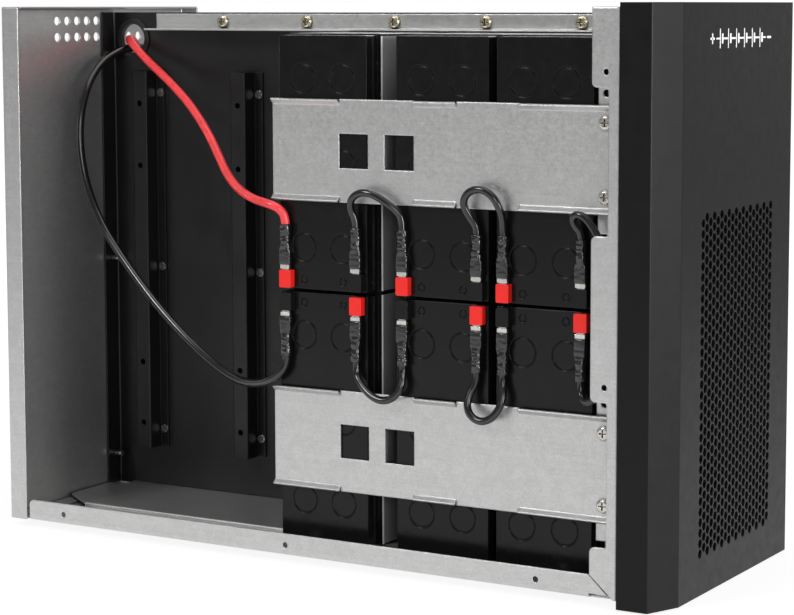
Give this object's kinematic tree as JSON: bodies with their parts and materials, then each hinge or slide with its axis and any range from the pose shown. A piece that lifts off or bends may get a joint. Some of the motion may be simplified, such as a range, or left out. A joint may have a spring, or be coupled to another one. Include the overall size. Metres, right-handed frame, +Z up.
{
  "type": "ups battery bank",
  "caption": "Tower battery pack for an uninterruptible power supply, hood off: folded steel chassis, strapped sealed batteries wired in series, leads and a perforated front bezel.",
  "frame": {"origin": "middle of the overall box on the surface that the rubber feet stand on", "axes": "+X from the rear panel towards the front bezel, +Y from the open battery side towards the wiring bay, +Z up"},
  "size_m": [0.4558, 0.193, 0.3294],
  "materials": {
    "galvanised_sheet": "satin, mottled zinc grain",
    "black_sheet": "satin black paint",
    "battery_plastic": "semi-matt black case",
    "red_plastic": "moulded red",
    "black_terminal_plastic": "moulded black",
    "tin_plate": "bright tin plate",
    "black_sleeve": "shrunk glossy sleeve",
    "yellow_zinc": "yellow zinc plate",
    "zinc_plate": "bright zinc plate",
    "bezel_plastic": "fine-grained charcoal plastic",
    "black_rubber": "matt rubber",
    "outlet_plastic": "moulded black",
    "fuse_body": "ceramic white barrel",
    "red_insulation": "soft insulation",
    "black_insulation": "soft insulation"
  },
  "bodies": {
    "root": {"base_pan": "galvanised_sheet", "base_rivets": "zinc_plate", "battery_a_lower": "battery_plastic", "battery_a_upper": "battery_plastic", "battery_b_lower": "battery_plastic", "battery_b_upper": "battery_plastic", "battery_c_lower": "battery_plastic", "battery_c_upper": "battery_plastic", "battery_tray": "galvanised_sheet", "bezel": "bezel_plastic", "bezel_screws": "zinc_plate", "cable_grommet": "black_rubber", "dc_outlet": "outlet_plastic", "foot_1": "black_rubber", "foot_2": "black_rubber", "foot_3": "black_rubber", "foot_4": "black_rubber", "front_panel": "galvanised_sheet", "fuse": "fuse_body", "fuse_holder": "outlet_plastic", "fuse_holder_screws": "zinc_plate", "fuse_lead": "red_insulation", "jumper_a_b_lower": "black_insulation", "jumper_a_b_upper": "black_insulation", "jumper_b_c_lower": "black_insulation", "jumper_b_c_upper": "black_insulation", "jumper_c_c": "black_insulation", "lower_strap": "galvanised_sheet", "outlet_contacts": "tin_plate", "pack_lead_negative": "black_insulation", "pack_lead_positive": "red_insulation", "partition": "black_sheet", "partition_rib_1": "black_sheet", "partition_rib_2": "black_sheet", "partition_screws": "zinc_plate", "rail_screws": "yellow_zinc", "rear_panel": "galvanised_sheet", "rib_rivets": "zinc_plate", "strap_bracket_lower": "galvanised_sheet", "strap_bracket_upper": "galvanised_sheet", "strap_screws": "zinc_plate", "terminal_bases_negative": "black_terminal_plastic", "terminal_bases_positive": "red_plastic", "terminal_blades": "tin_plate", "terminal_receptacles": "tin_plate", "terminal_sleeves": "black_sleeve", "top_rail": "galvanised_sheet", "upper_strap": "galvanised_sheet"}
  },
  "joints": []
}
